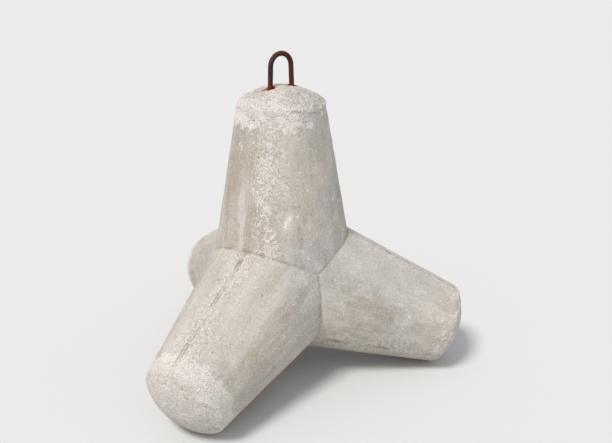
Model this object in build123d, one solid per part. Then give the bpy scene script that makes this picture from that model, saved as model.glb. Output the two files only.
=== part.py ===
"""Precast concrete tetrapod for sea walls, with its steel lifting loop cast in.

Millimetres, +Z up. The origin is the point where the axes of the four legs meet. One leg
points straight up and the other three carry the block on the rims of their ends.
"""

import math
import os

from build123d import *

os.makedirs("parts", exist_ok=True)

# Legs: four equal round tapered legs, cast as one piece
leg_reach = 1288.0  # centre of the block to the plane of a leg's rim
end_radius = 302.0  # radius of a leg at its rim, before the edge is rounded
leg_taper = 10.0  # degrees between a leg's side and its axis
cap_rise = 108.0  # height of the shallow dome on a leg's end
rim_round = 15.0  # radius of the worn edge between side and dome

# Seams: thin ridges of mortar left where the mould shells were bolted together
seam_width = 14.0
seam_height = 3.0
seam_stop = 22.0  # distance from the rim's plane at which a seam ends

# Lifting loop: one round bar bent to a hairpin, cast into the upright leg
bar_diameter = 36.0
foot_spacing = 180.0  # between the bar's centres where it enters the concrete
loop_height = 240.0  # from that entry to the top of the bow
loop_splay = 2.0  # degrees by which each side leans inwards as it rises
loop_turn = 38.0  # degrees from +X to the plane of the loop
anchor_depth = 430.0  # from the entry down to the middle of the anchor's tail
anchor_bend = 80.0  # radius of the anchor's bend, at the middle of the bar
anchor_cover = 70.0  # end of the tail to the narrowest part of the leg's side

# Angle between two legs of a regular tetrapod, and the lower legs' directions around +Z
leg_angle = math.degrees(math.acos(-1 / 3))
lower_turns = (0.0, 120.0, 240.0)

taper_slope = math.tan(math.radians(leg_taper))
root_radius = end_radius + leg_reach * taper_slope
dome_radius = (end_radius**2 + cap_rise**2) / (2 * cap_rise)


def dome_height(radius):
    """Height of the upright leg's dome above the origin, at a distance from its axis."""
    drop = dome_radius - math.sqrt(dome_radius**2 - radius**2)
    return leg_reach + cap_rise - drop


def lower_leg_places():
    """The turns that take the upright leg to each lower leg, its seams facing the others."""
    tilt = Rot(0, leg_angle, 0) * Rot(0, 0, 180)
    return [Rot(0, 0, turn) * tilt for turn in lower_turns]


def tapered_leg():
    """The upright leg: a cone from the centre of the block to its rim, and a dome on it."""
    half = end_radius / 2
    top = (0, leg_reach + cap_rise)
    rim = (end_radius, leg_reach)
    with BuildPart() as leg:
        with BuildSketch(Plane.XZ) as profile:
            with BuildLine():
                Polyline(top, (0, 0), (root_radius, 0), rim)
                ThreePointArc(rim, (half, dome_height(half)), top)
            make_face()
            fillet(profile.vertices().sort_by_distance((*rim, 0))[0], radius=rim_round)
        revolve(axis=Axis.Z)
    return leg.part


def seam_fin():
    """A thin plate from the upright leg's axis to just outside its side, facing a lower leg."""
    end = leg_reach - seam_stop
    proud_radius = root_radius + seam_height / math.cos(math.radians(leg_taper))
    outline = Polyline(
        (0, 0),
        (proud_radius, 0),
        (proud_radius - end * taper_slope, end),
        (0, end),
        close=True,
    )
    return extrude(Plane.XZ * make_face(outline), seam_width / 2, both=True)


def trimmed_leg():
    """The upright leg with its three seams, cut off where it meets the lower legs.

    Equal cones meet in flat curves, halfway between their axes, so flat cuts through the
    centre of the block end each leg exactly at its creases.
    """
    leg = tapered_leg()
    for turn in lower_turns:
        leg += Rot(0, 0, turn) * seam_fin()
    up = Vector(0, 0, 1)
    for place in lower_leg_places():
        lower_axis = (place * Pos(up)).position
        halfway = Plane(origin=(0, 0, 0), z_dir=up - lower_axis)
        leg = split(leg, bisect_by=halfway, keep=Keep.TOP)
    return leg


def loop_centre_line():
    """The bar's middle, from one anchor tail over the bow to the other, in the XZ plane."""
    splay = math.radians(loop_splay)
    foot_x = foot_spacing / 2
    foot_z = dome_height(foot_x)
    bow_rise = loop_height - bar_diameter / 2
    bow_radius = foot_x * math.cos(splay) - bow_rise * math.sin(splay)
    bow_radius /= 1 - math.sin(splay)
    bow_z = foot_z + bow_rise - bow_radius
    bow_start = Vector(bow_radius * math.cos(splay), 0, bow_z + bow_radius * math.sin(splay))

    # The bend turns the bar from its lean into a level tail that points outwards
    tail_z = foot_z - anchor_depth
    bend_z = tail_z + anchor_bend * (1 - math.sin(splay))
    bend_start = Vector(foot_x + (foot_z - bend_z) * math.tan(splay), 0, bend_z)
    bend_centre = Vector(bend_start.X + anchor_bend * math.cos(splay), 0, tail_z + anchor_bend)
    turned = (math.pi / 2 - splay) / 2
    bend_middle = bend_centre - Vector(
        anchor_bend * math.sin(turned), 0, anchor_bend * math.cos(turned)
    )
    tail_start = Vector(bend_centre.X, 0, tail_z)
    tail_end = Vector(end_radius - anchor_cover, 0, tail_z)

    side = [
        Line(tail_end, tail_start),
        ThreePointArc(tail_start, bend_middle, bend_start),
        Line(bend_start, bow_start),
    ]
    bow = ThreePointArc(
        bow_start, (0, 0, bow_z + bow_radius), (-bow_start.X, 0, bow_start.Z)
    )
    other_side = [mirror(edge, about=Plane.YZ) for edge in side]
    return Wire([edge for curve in [*side, bow, *other_side] for edge in curve.edges()])


def lifting_loop():
    """The round bar along its middle line, turned to its place about +Z."""
    path = loop_centre_line()
    start = Plane(origin=path @ 0, z_dir=path % 0)
    bar = sweep(start * Circle(bar_diameter / 2), path=path)
    return Rot(0, 0, loop_turn) * bar


def concrete_body(loop):
    """The four legs as one casting, with the loop's bar cut out of it."""
    leg = trimmed_leg()
    body = leg + [place * leg for place in lower_leg_places()]
    return body - loop


loop = lifting_loop()
body = concrete_body(loop)
export_step(body, "parts/concrete_body.step")
export_step(loop, "parts/lifting_loop.step")
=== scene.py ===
"""Concrete tetrapod with a rusted lifting loop: the looks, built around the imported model.

Metres, +Z up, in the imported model's own frame. The origin is the centre of the block, where
the axes of its four legs meet.
"""

import math
from types import SimpleNamespace

import bpy
import numpy as np
from mathutils import Matrix, Vector, noise


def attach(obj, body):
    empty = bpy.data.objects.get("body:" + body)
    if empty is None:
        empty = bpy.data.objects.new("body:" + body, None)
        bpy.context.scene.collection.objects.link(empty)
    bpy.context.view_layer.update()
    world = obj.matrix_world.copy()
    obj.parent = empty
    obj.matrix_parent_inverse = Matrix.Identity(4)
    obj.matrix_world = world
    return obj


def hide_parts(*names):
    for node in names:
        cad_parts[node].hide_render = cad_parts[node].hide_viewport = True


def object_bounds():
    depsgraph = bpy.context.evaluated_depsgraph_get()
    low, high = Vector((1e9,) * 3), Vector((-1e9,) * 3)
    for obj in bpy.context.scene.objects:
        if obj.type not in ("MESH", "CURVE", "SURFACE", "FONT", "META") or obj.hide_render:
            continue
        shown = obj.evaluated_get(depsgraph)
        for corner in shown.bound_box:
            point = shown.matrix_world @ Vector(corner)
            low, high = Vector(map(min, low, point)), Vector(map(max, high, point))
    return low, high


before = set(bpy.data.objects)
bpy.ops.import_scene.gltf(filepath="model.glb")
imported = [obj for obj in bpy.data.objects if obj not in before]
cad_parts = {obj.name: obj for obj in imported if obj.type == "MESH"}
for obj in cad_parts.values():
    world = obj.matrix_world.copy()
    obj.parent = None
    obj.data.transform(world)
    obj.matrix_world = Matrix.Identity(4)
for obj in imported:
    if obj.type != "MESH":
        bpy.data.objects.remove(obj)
cad_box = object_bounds()

# Block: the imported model's own sizes
leg_reach = 1.288  # centre of the block to the plane of a leg's rim
end_radius = 0.302
leg_taper = math.radians(10)
cap_rise = 0.108  # height of a leg's dome over its rim
rim_round = 0.015
seam_width = 0.014
seam_height = 0.003
seam_stop = 0.022  # distance from the rim at which a seam ends
leg_angle = math.acos(-1 / 3)
lower_turns = (0, 120, 240)
taper_slope = math.tan(leg_taper)
root_radius = end_radius + leg_reach * taper_slope
dome_radius = (end_radius**2 + cap_rise**2) / (2 * cap_rise)
seam_turn = 2 * math.pi / 3  # from one seam of a leg to the next

# Loop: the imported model's own sizes
bar_radius = 0.018
foot_offset = 0.090  # the upright leg's axis to the middle of the bar at its foot
loop_height = 0.240
loop_splay = math.radians(2)
loop_turn = math.radians(38)
anchor_depth = 0.430
anchor_bend = 0.080
anchor_cover = 0.070
tail_reach = end_radius - anchor_cover

# Fineness of the block's mesh, finer on the upright leg, whose dome was left rough
seam_columns = (0, 0.003, 0.006, 0.0085, 0.013, 0.020)  # distances from a seam's middle
half_columns = 40  # columns from a seam to halfway to the next
growing_rings = 6 * half_columns // 8  # rings of 8, 16, 24 points, up to a whole row
growing_share = 0.48  # share of the upright leg's dome that they fill
whole_rings = 24  # from there to the rim
lower_dome_first = 1.35  # first step of its rings against an even one, out from the top
rim_rows = 4
upright_rows, lower_rows = 104, 52
side_first = 0.34  # first step of the side's rows against an even one, down from the rim
weld_digits = 5

# Fineness of the loop's mesh
path_spacing = 0.004
bar_sides = 28

# Relief of the concrete
wave_height = 0.0014  # the mould's gentle waves
hand_height = 0.0045  # the slow waves of the floated dome
sand_height = 0.0022  # the roughness of the floated dome
skin_height = 0.0003  # the roughness of the sides
lip_hang = 0.026  # how far the mortar lip hangs over the rim
lip_thinnest = 0.0015
lip_growth = 0.006  # what its thickest places add
lip_sand = 0.002
lip_wander, lip_tear = 0.018, 0.014  # slow and fine swings of its lower edge
rub_depth, rub_reach = 0.004, 0.012
chip_depth, chip_reach = 0.012, 0.030
dome_pit, rim_pit, pit_reach = 0.0035, 0.0012, 0.12
ridge_left = 0.0002  # what stays where a ridge has broken off
ridge_growth = seam_height - 0.0006  # what a whole ridge adds, worn a little
dish_depth, dish_radius = 0.011, 0.038

# Relief of the bar
rust_loss = 0.0005
rust_scale = 0.0004
rust_pit = 0.0006

# Weathering
weather_side = (-0.85, -0.53, 0.0)  # where wind and rain come from
band_turn = math.radians(16)  # from the upright leg's seams to the pale bands beside them
highlight_side = (-0.55, -0.40, 0.73)  # the side of the bar with the painted dull purple highlight, toward the sun


def step(value, low, high):
    """0 below low, 1 above high and a smooth rise between them."""
    t = min(max((value - low) / (high - low), 0), 1)
    return t * t * (3 - 2 * t)


def bell(value, reach):
    """1 at zero, and less and less away from it."""
    return math.exp(-((value / reach) ** 2))


def dome_height(radius):
    """Height of the upright leg's dome over the centre of the block."""
    drop = dome_radius - math.sqrt(dome_radius**2 - radius**2)
    return leg_reach + cap_rise - drop


def gap_to_rim(radius, height):
    """Distance from a point of the upright leg's outline to its rim."""
    return math.hypot(end_radius - radius, leg_reach - height)


def spread(share, first):
    """How far a share of the steps goes, the first of them about `first` of an even one."""
    return first * share + (1 - first) * share**2


def turn_off_seam(angle):
    """The turn round a leg from its nearest seam."""
    return (angle + seam_turn / 2) % seam_turn - seam_turn / 2


def link(name, mesh):
    """A new object of the scene with this mesh."""
    piece = bpy.data.objects.new(name, mesh)
    bpy.context.scene.collection.objects.link(piece)
    return piece


# The block's mesh


def column_angles():
    """Angles round a leg, close together across its three seams and even between them."""
    middle_radius = (end_radius + root_radius) / 2
    near = [offset / middle_radius for offset in seam_columns]
    even = np.linspace(near[-1], seam_turn / 2, half_columns + 2 - len(near))[1:]
    half = near + list(even)
    sector = half + [seam_turn - a for a in half[-2:0:-1]]
    return [a + turn * seam_turn for turn in range(3) for a in sector]


def crease_height(angle):
    """Distance along a leg's axis of the point where its side meets the next leg's side."""
    lean = math.cos(turn_off_seam(angle)) / math.sqrt(2)
    return lean * root_radius / (1 + lean * taper_slope)


def rim_profile():
    """Radius and height of the rim's small rounding, from the dome's edge to the side's."""
    dome_slope = math.asin(end_radius / dome_radius)
    tangent = rim_round * math.tan((math.pi / 2 - leg_taper - dome_slope) / 2)
    on_dome = Vector((-math.cos(dome_slope), math.sin(dome_slope))) * tangent
    on_side = Vector((math.sin(leg_taper), -math.cos(leg_taper))) * tangent
    corner = Vector((end_radius, leg_reach))
    points = []
    for k in range(rim_rows + 1):
        t = k / rim_rows
        points.append(corner + on_dome * (1 - t) ** 2 + on_side * t**2)
    return points


class Leg:
    """Points, faces and facts of one leg's mesh, standing up along +Z.

    Square rings fill the dome. Rows round the leg follow, for the rim's rounding and the
    side, and the last is the crease with the other legs. The facts of a point are its
    distance from the rim, positive on the dome, its distances from the nearest seam and the
    nearest pale band, and whether it lies in the crease.
    """

    def __init__(self, upright):
        self.upright = upright
        self.to_band = band_turn if upright else 0
        self.angles = column_angles()
        self.rim = rim_profile()
        self.points, self.faces, self.facts = [], [], []
        self.last_row = 0
        self.fill_dome()
        if upright:
            self.widen_dome()
        self.round_rim()
        self.run_side()

    def add(self, radius, height, angle, from_rim, in_crease=False):
        self.points.append((radius * math.cos(angle), radius * math.sin(angle), height))
        from_seam = abs(turn_off_seam(angle)) * radius
        from_band = abs(turn_off_seam(angle - self.to_band)) * radius
        self.facts.append((from_rim, from_seam, from_band, in_crease))

    def add_row(self, spots, in_crease=False):
        """Adds a row of points, (radius, height, distance from rim) each, and joins it."""
        before, start, count = self.last_row, len(self.points), len(self.angles)
        for angle, (radius, height, from_rim) in zip(self.angles, spots):
            self.add(radius, height, angle, from_rim, in_crease)
        for k in range(count):
            after = (k + 1) % count
            self.faces.append((before + k, start + k, start + after, before + after))
        self.last_row = start

    def fill_dome(self):
        """Square rings round the top, each with eight points more than the one inside it."""
        self.add(0, leg_reach + cap_rise, 0, end_radius)
        starts = [0]
        reach = self.rim[0].x * (growing_share if self.upright else 1)
        count = len(self.angles)
        for ring in range(1, growing_rings + 1):
            share = ring / growing_rings
            if not self.upright:
                share = spread(share, lower_dome_first)
            radius = reach * share
            starts.append(len(self.points))
            for k in range(8 * ring):
                place = k * count / (8 * ring)
                low = int(place)
                start = self.angles[low]
                end = self.angles[low + 1] if low + 1 < count else 2 * math.pi
                angle = start + (end - start) * (place - low)
                self.add(radius, dome_height(radius), angle, end_radius - radius)

        # A ring has four sides. Each corner takes a face with both its neighbours.
        for ring in range(1, growing_rings + 1):
            outer, size = starts[ring], 8 * ring
            inner, inner_size = starts[ring - 1], max(8 * (ring - 1), 1)
            for k in range(size):
                side, along = divmod(k, 2 * ring)
                place = 2 * side * (ring - 1) + along
                a, b = outer + k, outer + (k + 1) % size
                c = inner + place % inner_size
                if along == 0:
                    self.faces.append((outer + (k - 1) % size, a, b, c))
                elif along < 2 * ring - 1:
                    self.faces.append((a, b, c, inner + (place - 1) % inner_size))
        self.last_row = starts[-1]

    def widen_dome(self):
        """Whole rings, from the square ones out to the rim."""
        for row in range(1, whole_rings + 1):
            share = growing_share + (1 - growing_share) * row / whole_rings
            radius = self.rim[0].x * share
            spot = (radius, dome_height(radius), end_radius - radius)
            self.add_row([spot] * len(self.angles))

    def round_rim(self):
        """Rows round the rim's rounding. The rim itself is its middle."""
        for row, place in enumerate(self.rim[1:], 1):
            gap = gap_to_rim(place.x, place.y)
            spot = (place.x, place.y, gap if row < rim_rows / 2 else -gap)
            self.add_row([spot] * len(self.angles))

    def run_side(self):
        """Rows down the side to the crease, closer together near the rim."""
        rows = upright_rows if self.upright else lower_rows
        top = self.rim[-1].y
        for row in range(1, rows + 1):
            share = spread(row / rows, side_first)
            spots = []
            for angle in self.angles:
                height = top + (crease_height(angle) - top) * share
                radius = root_radius - height * taper_slope
                spots.append((radius, height, -gap_to_rim(radius, height)))
            self.add_row(spots, in_crease=row == rows)


def leg_places():
    """The upright leg's own place and the turns that take it to each lower leg."""
    tilt = Matrix.Rotation(leg_angle, 4, "Y") @ Matrix.Rotation(math.pi, 4, "Z")
    lower = [Matrix.Rotation(math.radians(turn), 4, "Z") @ tilt for turn in lower_turns]
    return [Matrix.Identity(4)] + lower


def foot_points():
    """Where the middle of the loop's bar enters the dome."""
    side = Vector((math.cos(loop_turn), math.sin(loop_turn), 0)) * foot_offset
    height = Vector((0, 0, dome_height(foot_offset)))
    return [height - side, height + side]


def lip(point, from_rim, rough):
    """Height of the mortar lip: thick and thin by turns, with a ragged lower edge."""
    thick = step(noise.noise(point * 3.2 + Vector((5, 2, 9))), -0.15, 0.4)
    edge = lip_hang + lip_wander * noise.noise(point * 9) + lip_tear * noise.noise(point * 42)
    shape = step(from_rim, -edge - 0.004, -edge + 0.003) * (1 - step(from_rim, 0.0, 0.08))
    return shape * (lip_thinnest + lip_growth * thick + lip_sand * rough)


def rim_damage(point, from_rim):
    """Depth to which the rim is rubbed down all round, and chipped in places."""
    uneven = 0.5 + 0.5 * noise.noise(point * 55)
    rubbed = rub_depth * uneven * bell(from_rim, rub_reach)
    chipped = noise.fractal(point * 9 + Vector((11, 4, 2)), 0.6, 2, 3)
    ragged = 0.20 * noise.noise(point * 38)
    chip = step(chipped + ragged, 0.30, 0.46)
    return rubbed + chip_depth * chip * bell(from_rim, chip_reach)


def ridge(point, from_rim, from_seam, upright):
    """Height of the seams' mortar ridges, broken off in places, mostly on the upright leg."""
    below_stop = step(-from_rim, seam_stop - 0.004, seam_stop + 0.004)
    shape = below_stop * (1 - step(from_seam, 0.0015, seam_width / 2))
    gone, left = (0.0, 0.6) if upright else (-0.15, 1.0)
    whole = noise.noise(point * 7) + 0.6 * noise.noise(point * 31)
    whole = step(whole, gone, gone + 0.40)
    return shape * (ridge_left + left * ridge_growth * whole)


def relief(point, from_rim, from_seam, upright):
    """How far the cast surface stands out of the plain form at a point.

    The upright leg's dome was floated by hand in the open mould, so it is rough, and its
    mortar hangs over the rim in a thin ragged lip. The other domes took the mould's form.
    Each noise has a scale or a shift of its own, so that no two patterns fall together.
    """
    floated = step(from_rim, -0.004, 0.012) * (1.0 if upright else 0.35)
    above_floor = step(point.z - cad_box[0][2], 0.02, 0.14)
    rough = noise.fractal(point * 48, 0.5, 2, 3)
    hand = noise.fractal(point * 10 + Vector((3, 1, 7)), 0.8, 2, 4)
    pit = step(noise.noise(point * 62 + Vector((8, 8, 1))), 0.42, 0.62)

    out = wave_height * noise.fractal(point * 5, 0.8, 2, 3)
    out += hand_height * floated * hand
    out += (sand_height * floated + skin_height) * rough
    if upright and from_rim < 0.09:
        out += lip(point, from_rim, rough)
    out -= above_floor * rim_damage(point, from_rim)
    out -= pit * (dome_pit * floated + rim_pit * bell(from_rim, pit_reach))
    return out + ridge(point, from_rim, from_seam, upright)


def weld(points, in_crease):
    """Makes crease points that two or three legs share one point.

    Returns the numbers of the points that stay, and the new number of every point.
    """
    seen, stay, numbers = {}, [], []
    for k, point in enumerate(points):
        key = k
        if in_crease[k]:
            key = tuple(round(value, weld_digits) for value in point)
            near = [key]
            for axis in range(3):
                for shift in (-1, 1):
                    other = list(key)
                    other[axis] = round(other[axis] + shift * 10**-weld_digits, weld_digits)
                    near.append(tuple(other))
            key = next((n for n in near if n in seen), key)
        if key not in seen:
            seen[key] = len(stay)
            stay.append(k)
        numbers.append(seen[key])
    return stay, numbers


def raise_relief(mesh, facts, upright):
    """Moves each point along its normal by the relief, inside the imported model's box."""
    normals = [Vector(v.normal) for v in mesh.vertices]
    low, high = cad_box
    feet = foot_points()
    for v, normal, (from_rim, from_seam, _), is_upright in zip(
        mesh.vertices, normals, facts, upright
    ):
        out = relief(v.co, from_rim, from_seam, is_upright)
        to_foot = min((v.co - foot).length for foot in feet)
        out -= dish_depth * (1 - step(to_foot, bar_radius, dish_radius))
        spot = v.co + normal * out
        v.co = [min(max(spot[k], low[k]), high[k]) for k in range(3)]


def write_facts(mesh, facts, upright, face_legs):
    """Facts that the material reads: of each point, and each corner's place on its own leg."""
    places = leg_places()
    axes = np.array([place.to_3x3() @ Vector((0, 0, 1)) for place in places])
    spots = np.array([v.co for v in mesh.vertices])
    nearest = np.sort(spots @ axes.T, axis=1)
    from_crease = (nearest[:, -1] - nearest[:, -2]) / (2 * math.sin(leg_angle / 2))

    # Legs are set apart along Z, so that the streaks of one don't run on in the next
    inverse = [place.inverted() for place in places]
    on_leg = np.empty((len(mesh.loops), 3))
    for face, leg in zip(mesh.polygons, face_legs):
        for corner in face.loop_indices:
            spot = inverse[leg] @ mesh.vertices[mesh.loops[corner].vertex_index].co
            on_leg[corner] = (spot.x, spot.y, spot.z + 4 * leg)

    wear = np.column_stack([facts[:, :2], upright])
    for name, kind, domain, field, values in (
        ("wear", "FLOAT_VECTOR", "POINT", "vector", wear),
        ("from_band", "FLOAT", "POINT", "value", facts[:, 2]),
        ("from_crease", "FLOAT", "POINT", "value", from_crease),
        ("leg_place", "FLOAT_VECTOR", "CORNER", "vector", on_leg),
    ):
        layer = mesh.attributes.new(name, kind, domain)
        layer.data.foreach_set(field, values.ravel())


def build_block():
    """The four legs as one welded mesh with its relief, its sharp creases and its facts."""
    points, faces, facts, point_legs, face_legs = [], [], [], [], []
    for number, place in enumerate(leg_places()):
        leg = Leg(upright=number == 0)
        first = len(points)
        points += [place @ Vector(p) for p in leg.points]
        faces += [[first + corner for corner in face] for face in leg.faces]
        facts += leg.facts
        point_legs += [number] * len(leg.points)
        face_legs += [number] * len(leg.faces)

    stay, numbers = weld(points, [fact[-1] for fact in facts])
    faces = [[numbers[corner] for corner in face] for face in faces]
    facts = np.array([facts[k] for k in stay], float)
    upright = np.array([point_legs[k] == 0 for k in stay])
    mesh = bpy.data.meshes.new("block")
    mesh.from_pydata([points[k] for k in stay], [], faces)
    mesh.update()
    raise_relief(mesh, facts[:, :3], upright)
    write_facts(mesh, facts[:, :3], upright, face_legs)

    mesh.shade_smooth()
    in_crease = facts[:, 3] > 0
    ends = np.array([tuple(edge.vertices) for edge in mesh.edges])
    sharp = mesh.attributes.new("sharp_edge", "BOOLEAN", "EDGE")
    sharp.data.foreach_set("value", in_crease[ends].all(axis=1))
    return link("block", mesh)


# The loop's mesh


def loop_path():
    """Evenly spaced points along the middle of the bar, in the loop's own plane."""
    foot_z = dome_height(foot_offset)
    bow_rise = loop_height - bar_radius
    bow_radius = foot_offset * math.cos(loop_splay) - bow_rise * math.sin(loop_splay)
    bow_radius /= 1 - math.sin(loop_splay)
    bow_z = foot_z + bow_rise - bow_radius
    tail_z = foot_z - anchor_depth
    bend_z = tail_z + anchor_bend * (1 - math.sin(loop_splay))
    bend_x = foot_offset + (foot_z - bend_z) * math.tan(loop_splay)
    bend_centre = Vector((bend_x + anchor_bend * math.cos(loop_splay), tail_z + anchor_bend))

    def arc(centre, radius, start, end):
        steps = max(int(abs(end - start) * radius / path_spacing), 1)
        turns = [start + (end - start) * k / steps for k in range(steps + 1)]
        return [centre + Vector((math.cos(t), math.sin(t))) * radius for t in turns]

    def line(start, end):
        steps = max(int((end - start).length / path_spacing), 1)
        return [start.lerp(end, k / steps) for k in range(1, steps)]

    tail_end = Vector((tail_reach, tail_z))
    bend = arc(bend_centre, anchor_bend, -math.pi / 2, -math.pi - loop_splay)
    bow = arc(Vector((0, bow_z)), bow_radius, loop_splay, math.pi / 2)
    half = [tail_end] + line(tail_end, bend[0]) + bend + line(bend[-1], bow[0]) + bow
    return half + [Vector((-p.x, p.y)) for p in half[-2::-1]]


def build_loop():
    """The bar as a round tube with the scaly relief of old rust."""
    path = loop_path()
    turn = Matrix.Rotation(loop_turn, 4, "Z")
    points, faces = [], []
    for k, middle in enumerate(path):
        before, after = path[max(k - 1, 0)], path[min(k + 1, len(path) - 1)]
        along = (after - before).normalized()
        across = Vector((-along.y, 0, along.x))
        centre = Vector((middle.x, 0, middle.y))
        for side in range(bar_sides):
            t = 2 * math.pi * side / bar_sides
            out = across * math.cos(t) + Vector((0, 1, 0)) * math.sin(t)
            spot = centre + out * bar_radius
            scale = noise.fractal(spot * 60, 0.7, 2, 3)
            pit = step(noise.noise(spot * 150 + Vector((5, 5, 5))), 0.25, 0.6)
            spot += out * (rust_scale * scale - rust_pit * pit - rust_loss)
            points.append(turn @ spot)

    for k in range(len(path) - 1):
        for side in range(bar_sides):
            a, b = k * bar_sides + side, k * bar_sides + (side + 1) % bar_sides
            faces.append((a, a + bar_sides, b + bar_sides, b))
    faces.append(tuple(range(bar_sides)))
    faces.append(tuple(reversed(range(len(points) - bar_sides, len(points)))))
    mesh = bpy.data.meshes.new("loop")
    mesh.from_pydata(points, [], faces)
    mesh.update()
    mesh.shade_smooth()
    return link("loop", mesh)


# Materials


def linear(red, green, blue):
    """A colour written as it looks on screen, 0 to 255, as the shader's numbers."""
    parts = []
    for value in (red, green, blue):
        c = value / 255
        parts.append(c / 12.92 if c <= 0.04045 else ((c + 0.055) / 1.055) ** 2.4)
    return (*parts, 1)


# Colours of the concrete
warm_skin = linear(200, 191, 180)
cool_skin = linear(192, 189, 184)
pale_streak = linear(215, 208, 199)
dark_streak = linear(168, 161, 151)
pale_run = linear(216, 210, 202)
dark_run = linear(172, 161, 147)
pale_cloud = linear(217, 211, 204)
dark_cloud = linear(167, 160, 151)
dull_stain = linear(166, 158, 145)
driven_dirt = linear(172, 160, 146)
bare_dome = linear(222, 214, 208)
worn_skin = linear(224, 216, 208)
bleached_skin = linear(206, 200, 193)
# A damp film's colour, darker for painted shade on the undersides
damp_film_and_shade = linear(150, 148, 128)
dark_sand = linear(147, 130, 118)
pale_sand = linear(248, 243, 238)
white_lime = linear(250, 242, 235)
pore_shade = linear(118, 96, 82)
ridge_crest = linear(222, 214, 205)
ridge_dirt = linear(128, 112, 94)
# Dirt and painted shade in the creases
crease_dirt_and_shade = linear(142, 132, 117)
water_mark = linear(134, 106, 78)
lichen_ring = linear(232, 227, 214)
lichen_core = linear(184, 160, 62)

# Colours of the rust stains at the loop's feet, from their edge to the bar
faint_rust = linear(204, 178, 142)
bright_rust = linear(182, 101, 22)
brown_rust = linear(98, 54, 24)
wet_rust = linear(64, 36, 22)

# Colours of the bar
cool_rust = linear(66, 32, 33)
warm_rust = linear(82, 38, 25)
mottled_rust = linear(42, 18, 20)
# A painted highlight, dull and purple, for faces turned toward the sun
painted_highlight = linear(114, 70, 74)
pale_scale = linear(110, 58, 38)
dark_scale = linear(36, 20, 20)
foot_rust = linear(132, 66, 30)

# Colours of the floor, as light falls on it and as it is seen
floor_lit = linear(214, 214, 214)
floor_seen = linear(225, 225, 225)


class Nodes:
    """Short names for the nodes of one tree."""

    def __init__(self, tree):
        self.tree = tree

    def put(self, socket, value):
        """Joins a socket to another, or sets its value."""
        if isinstance(value, bpy.types.NodeSocket):
            self.tree.links.new(value, socket)
        elif value is not None:
            socket.default_value = value

    def node(self, kind, inputs=(), **settings):
        """A node with its settings and its inputs, given as (name or number, value)."""
        node = self.tree.nodes.new("ShaderNode" + kind)
        for key, value in settings.items():
            setattr(node, key, value)
        for key, value in inputs:
            self.put(node.inputs[key], value)
        return node

    def math(self, how, a, b=None):
        return self.node("Math", [(0, a), (1, b)], operation=how).outputs[0]

    def plus(self, a, b):
        return self.math("ADD", a, b)

    def minus(self, a, b):
        return self.math("SUBTRACT", a, b)

    def larger(self, a, b):
        return self.math("MAXIMUM", a, b)

    def times(self, product, *others):
        """The product of all the values."""
        for other in others:
            product = self.math("MULTIPLY", product, other)
        return product

    def vector(self, how, a, b=None, output=0):
        return self.node("VectorMath", [(0, a), (1, b)], operation=how).outputs[output]

    def shifted(self, place, *shift):
        return self.vector("ADD", place, shift)

    def along(self, place, direction):
        """How far a place lies along a direction."""
        return self.vector("DOT_PRODUCT", place, direction, "Value")

    def parts(self, vector):
        return self.node("SeparateXYZ", [(0, vector)]).outputs

    def fact(self, name, output="Fac"):
        return self.node("Attribute", attribute_name=name).outputs[output]

    def noise(self, place, scale, detail=2.0, rough=0.5, twist=0.0):
        inputs = [("Vector", place), ("Scale", scale), ("Detail", detail)]
        inputs += [("Roughness", rough), ("Distortion", twist)]
        return self.node("TexNoise", inputs).outputs[0]

    def cells(self, place, scale):
        return self.node("TexVoronoi", [("Vector", place), ("Scale", scale)]).outputs

    def rise(self, value, low, high, start=0.0, end=1.0):
        """start below low, end above high, and a smooth change between them."""
        inputs = [("Value", value), ("From Min", low), ("From Max", high)]
        inputs += [("To Min", start), ("To Max", end)]
        return self.node("MapRange", inputs, interpolation_type="SMOOTHSTEP").outputs[0]

    def mix(self, share, a, b):
        inputs = [("Factor", share), (6, a), (7, b)]
        return self.node("Mix", inputs, data_type="RGBA").outputs[2]

    def bump(self, height, depth, normal=None):
        inputs = [("Height", height), ("Distance", depth), ("Strength", 1.0)]
        return self.node("Bump", inputs + [("Normal", normal)]).outputs[0]


class Surface(Nodes):
    """A material and the nodes that it is made of."""

    def __init__(self, name):
        self.material = bpy.data.materials.new(name)
        self.material.use_nodes = True
        super().__init__(self.material.node_tree)

    def finish(self, specular, **sockets):
        """Sets the shader's own level of gloss and joins or sets its other sockets."""
        shader = self.tree.nodes["Principled BSDF"]
        shader.inputs["Specular IOR Level"].default_value = specular
        for name, value in sockets.items():
            self.put(shader.inputs[name.replace("_", " ")], value)
        return self.material


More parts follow.
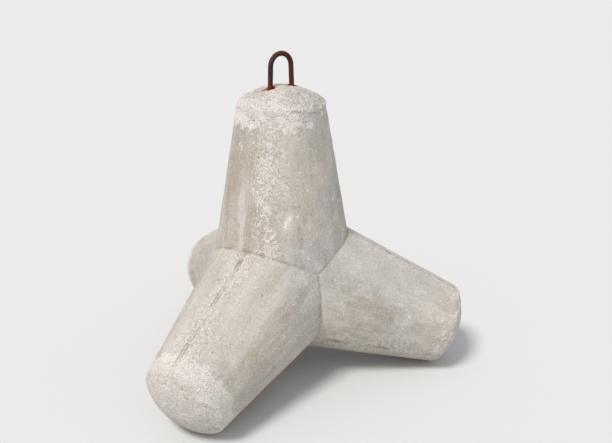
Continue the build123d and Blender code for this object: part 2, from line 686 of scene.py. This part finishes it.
def concrete_places(s):
    """Where on the block each look lies, and the noises that several looks share."""
    at = SimpleNamespace()
    at.spot = s.node("TexCoord").outputs["Object"]
    at.up = s.parts(s.node("NewGeometry").outputs["Normal"])[2]
    at.from_rim, at.from_seam, upright = s.parts(s.fact("wear", "Vector"))
    at.by_leg = lambda lower, top: s.rise(upright, 0.0, 1.0, lower, top)
    at.wander = s.minus(s.noise(at.spot, 6.0, 4.0, 0.6), 0.5)
    at.clouds = s.noise(at.spot, 11.0, 6.0, 0.72)
    at.stretched = s.vector("MULTIPLY", s.fact("leg_place", "Vector"), (1.0, 1.0, 0.07))
    at.runs = s.noise(at.stretched, 9.0, 3.0, 0.55)

    # The side that the weather comes from
    at.toward = s.along(at.spot, weather_side)
    weather = s.plus(at.toward, s.times(at.wander, 0.3))
    at.weather = s.rise(weather, -0.12, 0.12, 0.30, 1.0)

    # The dome, and the worn places: a ragged band round the rim, strongest on the weather
    # side, and sandy bands down the legs
    at.ragged = s.plus(at.from_rim, s.times(at.wander, 0.22))
    at.on_dome = s.rise(at.ragged, -0.03, 0.02)
    rim_band = s.times(s.rise(at.ragged, -0.20, -0.01), s.rise(at.ragged, 0.16, 0.02))
    rim_band = s.times(rim_band, at.weather)
    off_band = s.plus(s.fact("from_band"), s.times(at.wander, 0.30))
    fading = s.rise(s.noise(at.spot, 2.3, 2.0, 0.6), 0.36, 0.54, 0.45, 1.0)
    leg_band = s.times(s.rise(off_band, 0.15, 0.01), fading)
    at.worn = s.larger(rim_band, leg_band)
    at.rough = s.larger(s.times(at.on_dome, at.by_leg(0.35, 1.0)), at.worn)
    return at


def add_skin(s, at):
    """The sides: warm and cool patches under streaks and runs down the leg, and clouds."""
    patches = s.noise(at.spot, 1.6, 3.0, 0.55)
    streaks = s.noise(at.stretched, 24.0, 4.0, 0.6)
    colour = s.mix(s.rise(patches, 0.40, 0.60), warm_skin, cool_skin)
    colour = s.mix(s.rise(streaks, 0.52, 0.72, 0.0, 0.6), colour, pale_streak)
    colour = s.mix(s.rise(streaks, 0.47, 0.27, 0.0, 0.6), colour, dark_streak)
    colour = s.mix(s.rise(at.runs, 0.53, 0.66, 0.0, 0.60), colour, pale_run)
    colour = s.mix(s.rise(at.runs, 0.47, 0.34, 0.0, 0.75), colour, dark_run)
    colour = s.mix(s.rise(at.clouds, 0.52, 0.68, 0.0, 0.7), colour, pale_cloud)
    return s.mix(s.rise(at.clouds, 0.47, 0.31, 0.0, 0.6), colour, dark_cloud)


def add_weather(s, at, colour):
    """Stains, driven dirt, pale domes and worn bands, bleached tops, and a damp film with
    painted shade on the undersides.
    """
    stains = s.noise(at.spot, 3.4, 6.0, 0.68, 0.4)
    stained = s.times(s.rise(stains, 0.50, 0.66, 0.0, 0.45), at.by_leg(1.0, 0.45))
    colour = s.mix(stained, colour, dull_stain)
    driven = s.times(s.rise(at.toward, 0.18, 0.38), 0.55, s.rise(at.runs, 0.66, 0.42))
    colour = s.mix(s.times(driven, at.by_leg(0.3, 1.0)), colour, driven_dirt)

    colour = s.mix(s.times(at.on_dome, 0.65), colour, bare_dome)
    colour = s.mix(s.times(at.worn, 0.50), colour, worn_skin)
    colour = s.mix(s.rise(at.up, 0.25, 0.9, 0.0, 0.45), colour, bleached_skin)
    # Faces that look down get darker and greener: a damp film and painted shade
    damp_and_shade = s.times(s.rise(at.up, -0.15, -0.75), s.rise(at.clouds, 0.38, 0.62, 0.35, 1.0))
    return s.mix(s.times(damp_and_shade, 0.5), colour, damp_film_and_shade)


def add_sand(s, at, colour):
    """Pale and dark grains at two sizes, strong where the skin has worn off.

    Sets the fine grains, which the lime, the gloss and the bumps share.
    """
    for size, on_skin, where_rough in ((58.0, 0.22, 0.72), (135.0, 0.75, 1.45)):
        contrast = s.rise(at.rough, 0.0, 1.0, on_skin, where_rough)
        at.grains = s.noise(s.shifted(at.spot, size, 0.0, 3.0), size, 3.0, 0.78)
        paler = s.plus(at.grains, s.times(at.rough, 0.02))
        dark = s.times(s.rise(at.grains, 0.45, 0.34), contrast, 0.7)
        pale = s.times(s.rise(paler, 0.55, 0.65), contrast, 0.75)
        colour = s.mix(dark, colour, dark_sand)
        colour = s.mix(pale, colour, pale_sand)
    return colour


def add_lime(s, at, colour):
    """Crusts below the rim and a spatter down the bands, both thinner on the lower legs."""
    thick = s.rise(s.noise(s.shifted(at.spot, 6.0, 0.0, 0.0), 3.6, 1.0), 0.42, 0.58, 0.45, 1.25)
    under_rim = s.times(s.rise(at.ragged, -0.17, -0.04), s.rise(at.ragged, 0.07, -0.01))
    crust = (13.0, s.times(under_rim, thick, at.weather), 0.34, 1.0)
    spatter = (38.0, at.worn, 0.22, 0.78)
    holes = s.times(s.rise(at.grains, 0.38, 0.44), at.by_leg(0.58, 0.90))
    for size, place, spread, cover in (crust, spatter):
        blotches = s.noise(s.shifted(at.spot, 0.0, 2.0, size), size, 6.0, 0.66)
        lime = s.rise(s.plus(blotches, s.times(place, spread)), 0.61, 0.72)
        colour = s.mix(s.times(lime, holes, cover), colour, white_lime)
    return colour


def add_pores(s, at, colour):
    """Pores of mixed sizes, most of them where the skin has worn off.

    Sets the pores, which the bumps sink in.
    """
    at.pores = 0.0
    torn = s.times(s.minus(s.noise(at.spot, 240.0, 2.0), 0.5), 0.16)
    for size, on_skin, where_rough in ((34.0, 0.02, 0.09), (92.0, 0.05, 0.42)):
        cell = s.cells(s.shifted(at.spot, 0.0, size, 1.0), size)
        pick, width, _ = s.parts(cell["Color"])
        chosen = s.math("LESS_THAN", pick, s.rise(at.rough, 0.0, 1.0, on_skin, where_rough))
        edge = s.rise(width, 0.0, 1.0, 0.07, 0.20)
        gap = s.minus(s.plus(cell["Distance"], torn), edge)
        at.pores = s.larger(at.pores, s.times(s.rise(gap, 0.05, -0.02), chosen))
    return s.mix(s.times(at.pores, 0.80), colour, pore_shade)


def add_joints(s, at, colour):
    """The ridges' pale crests, the dirt beside them, dirt and painted shade in the creases, and
    water marks.
    """
    below_stop = s.rise(at.from_rim, -0.02, -0.03)
    uneven = s.times(s.minus(s.noise(at.spot, 55.0, 5.0, 0.7), 0.5), 0.030)
    off_seam = s.plus(at.from_seam, uneven)
    crest = s.times(s.rise(at.from_seam, 0.006, 0.003), below_stop, at.by_leg(0.40, 0.15))
    beside = s.times(s.rise(at.from_seam, 0.004, 0.007), s.rise(off_seam, 0.018, 0.007))
    beside = s.times(beside, s.rise(at.clouds, 0.42, 0.58), below_stop)
    colour = s.mix(crest, colour, ridge_crest)
    colour = s.mix(s.times(beside, at.by_leg(0.70, 0.15)), colour, ridge_dirt)

    # Darker near the creases between legs: lodged dirt and painted shade
    dark_in_crease = s.rise(s.plus(s.fact("from_crease"), uneven), 0.018, 0.000)
    dark_in_crease = s.times(dark_in_crease, s.rise(at.clouds, 0.38, 0.60, 0.10, 0.60))
    colour = s.mix(dark_in_crease, colour, crease_dirt_and_shade)

    # Water marks follow the lower legs' seams out of the crease
    mark = s.rise(s.plus(off_seam, s.times(at.wander, 0.05)), 0.022, 0.004)
    mark = s.times(mark, s.rise(s.noise(at.spot, 4.5, 3.0, 0.6), 0.50, 0.62))
    mark = s.times(mark, s.rise(at.from_rim, -0.25, -0.45), at.by_leg(0.55, 0.1))
    return s.mix(mark, colour, water_mark)


def add_lichen(s, at, colour):
    """Yellow lichen in a few small spots with pale rings, mostly near the rims."""
    cell = s.cells(at.spot, 12.0)
    _, pick, smaller = s.parts(cell["Color"])
    near_rim = s.times(s.rise(at.from_rim, -0.75, -0.30), s.rise(at.from_rim, 0.15, 0.10))
    chosen = s.times(s.math("LESS_THAN", pick, 0.55), near_rim)
    torn = s.times(s.noise(at.spot, 85.0, 4.0, 0.6), 0.42)
    gap = s.plus(s.plus(cell["Distance"], torn), s.times(smaller, 0.06))
    ring = s.times(s.rise(gap, 0.43, 0.35), chosen, 0.5)
    core = s.times(s.rise(gap, 0.355, 0.325), chosen, 0.85)
    return s.mix(core, s.mix(ring, colour, lichen_ring), lichen_core)


def add_rust_stains(s, spot, colour):
    """Rust at the loop's feet, and the trail that rain has drawn down the dome from them.

    Each foot has a ring close to the bar, and a trail with its own direction, length and
    width.
    """
    near_foot, far_foot = foot_points()
    trails = (
        (near_foot, Vector((-0.97, -0.24, 0)), 0.125, 0.034),
        (far_foot, Vector((0.80, 0.60, 0)), 0.070, 0.028),
    )
    blots = s.noise(spot, 42.0, 5.0, 0.72)
    sandy = s.noise(spot, 170.0, 3.0, 0.7)
    broken = s.minus(s.plus(s.times(blots, 1.7), s.times(sandy, 0.7)), 1.2)
    on_dome = s.rise(s.parts(spot)[2], leg_reach - 0.02, leg_reach + 0.02)
    for foot, direction, length, width in trails:
        offset = s.vector("SUBTRACT", spot, tuple(foot))
        down = s.along(offset, tuple(direction))
        aside = s.math("ABSOLUTE", s.along(offset, (-direction.y, direction.x, 0)))
        gap = s.vector("LENGTH", offset, output="Value")
        trail = s.times(s.rise(aside, width, 0.0), s.rise(down, length, 0.0))
        trail = s.times(trail, s.rise(down, -0.03, 0.01))
        stain = s.larger(s.rise(gap, 0.058, 0.018), trail)
        within = s.times(s.rise(stain, 0.0, 0.12), on_dome)
        stain = s.times(s.plus(stain, broken), within)
        wet = s.rise(s.plus(gap, s.times(blots, 0.010)), 0.030, 0.022)
        colour = s.mix(s.rise(stain, 0.05, 0.45, 0.0, 0.6), colour, faint_rust)
        colour = s.mix(s.rise(stain, 0.28, 0.58, 0.0, 0.92), colour, bright_rust)
        colour = s.mix(s.rise(stain, 0.62, 0.94, 0.0, 0.8), colour, brown_rust)
        colour = s.mix(s.times(wet, 0.8), colour, wet_rust)
    return colour


def concrete_surface():
    """Old weathered concrete: smooth streaked sides, rough speckled dome and worn rims."""
    s = Surface("concrete")
    at = concrete_places(s)
    colour = add_skin(s, at)
    for add in (add_weather, add_sand, add_lime, add_pores, add_joints, add_lichen):
        colour = add(s, at, colour)
    colour = add_rust_stains(s, at.spot, colour)

    # Bumps: coarse floated texture where the skin has gone, sand grain, and the pores' holes
    coarse = s.times(s.noise(at.spot, 70.0, 5.0, 0.7), at.rough)
    normal = s.bump(at.grains, 0.003, s.bump(coarse, 0.014))
    normal = s.bump(s.times(at.pores, -1.0), 0.004, normal)
    roughness = s.rise(at.grains, 0.2, 0.8, 0.86, 0.96)
    return s.finish(0.25, Base_Color=colour, Roughness=roughness, Normal=normal)


def rust_surface():
    """Dark maroon rust, browner on one side, with a painted dull purple highlight on the side
    toward the sun.
    """
    s = Surface("rust")
    spot = s.node("TexCoord").outputs["Object"]
    facing = s.along(s.node("NewGeometry").outputs["Normal"], highlight_side)
    clouds = s.noise(spot, 18.0, 5.0, 0.65)
    mottled = s.noise(spot, 65.0, 4.0, 0.7)
    fine = s.noise(spot, 150.0, 4.0, 0.7)
    across, _, tall = s.parts(spot)

    warmer = s.plus(across, s.times(s.minus(clouds, 0.5), 0.3))
    # Painted highlight: faces turned toward the sun get a dull purple sheen
    highlight_share = s.times(s.rise(facing, 0.25, 0.95), s.rise(clouds, 0.36, 0.60), 0.5)
    over_foot = s.minus(tall, dome_height(foot_offset))
    low = s.rise(s.plus(over_foot, s.times(clouds, 0.03)), 0.060, 0.012)
    colour = s.mix(s.rise(warmer, -0.05, 0.05), cool_rust, warm_rust)
    colour = s.mix(s.rise(mottled, 0.50, 0.36, 0.0, 0.7), colour, mottled_rust)
    colour = s.mix(highlight_share, colour, painted_highlight)
    colour = s.mix(s.rise(fine, 0.56, 0.74, 0.0, 0.7), colour, pale_scale)
    colour = s.mix(s.rise(fine, 0.46, 0.30, 0.0, 0.8), colour, dark_scale)
    colour = s.mix(s.times(low, 0.35), colour, foot_rust)

    normal = s.bump(fine, 0.0014, s.bump(clouds, 0.003))
    roughness = s.rise(fine, 0.3, 0.7, 0.55, 0.80)
    return s.finish(0.25, Base_Color=colour, Roughness=roughness, Normal=normal)


# The floor, the light and the camera


def set_stage():
    """A plain pale floor under the block, out to the horizon, as pale as the sky there."""
    bpy.ops.mesh.primitive_plane_add(size=400, location=(0, 0, cad_box[0][2]))
    floor = bpy.context.object
    floor.name = "floor"
    s = Surface("floor")
    seen = s.node("LightPath").outputs["Is Camera Ray"]
    colour = s.mix(seen, floor_lit, floor_seen)
    floor.data.materials.append(s.finish(0.0, Base_Color=colour, Roughness=0.9))


def set_light():
    """A soft high sun from the front left, and an even pale sky that meets the floor unseen."""
    world = bpy.data.worlds.new("sky")
    bpy.context.scene.world = world
    world.use_nodes = True
    s = Nodes(world.node_tree)
    sky = s.tree.nodes["Background"]
    s.put(sky.inputs["Color"], (0.935, 0.965, 1.0, 1))
    s.put(sky.inputs["Strength"], 0.56)
    seen = s.node("Background", [("Color", (0.832, 0.832, 0.832, 1)), ("Strength", 1.0)])
    path = s.node("LightPath").outputs
    in_sight = s.larger(path["Is Camera Ray"], path["Is Glossy Ray"])
    both = s.node("MixShader", [(0, in_sight), (1, sky.outputs[0]), (2, seen.outputs[0])])
    s.put(s.tree.nodes["World Output"].inputs["Surface"], both.outputs[0])

    data = bpy.data.lights.new("sun", "SUN")
    data.energy = 2.2
    data.angle = math.radians(16)
    data.color = (1.0, 0.97, 0.935)
    sun = link("sun", data)
    sun.rotation_euler = Vector((0.37, 0.48, -0.92)).to_track_quat("-Z", "Y").to_euler()


def set_camera():
    """From a little above the dome, as the photograph looks at it, with the block whole."""
    distance = 5.2
    dome_elevation = math.radians(12)
    middle_x, middle_z = 0.17, 0.40
    aim = Vector((middle_x, 0, middle_z))
    eye = Vector((middle_x, -distance, leg_reach + distance * math.tan(dome_elevation)))
    data = bpy.data.cameras.new("camera")
    data.sensor_width = 36
    data.lens = 45
    camera = link("camera", data)
    camera.location = eye
    camera.rotation_euler = (aim - eye).to_track_quat("-Z", "Y").to_euler()
    bpy.context.scene.camera = camera


block = build_block()
block.data.materials.append(concrete_surface())
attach(block, "root")
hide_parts("concrete_body")

loop = build_loop()
loop.data.materials.append(rust_surface())
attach(loop, "root")
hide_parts("lifting_loop")

set_stage()
set_light()
set_camera()
bpy.context.scene.view_settings.view_transform = "Standard"
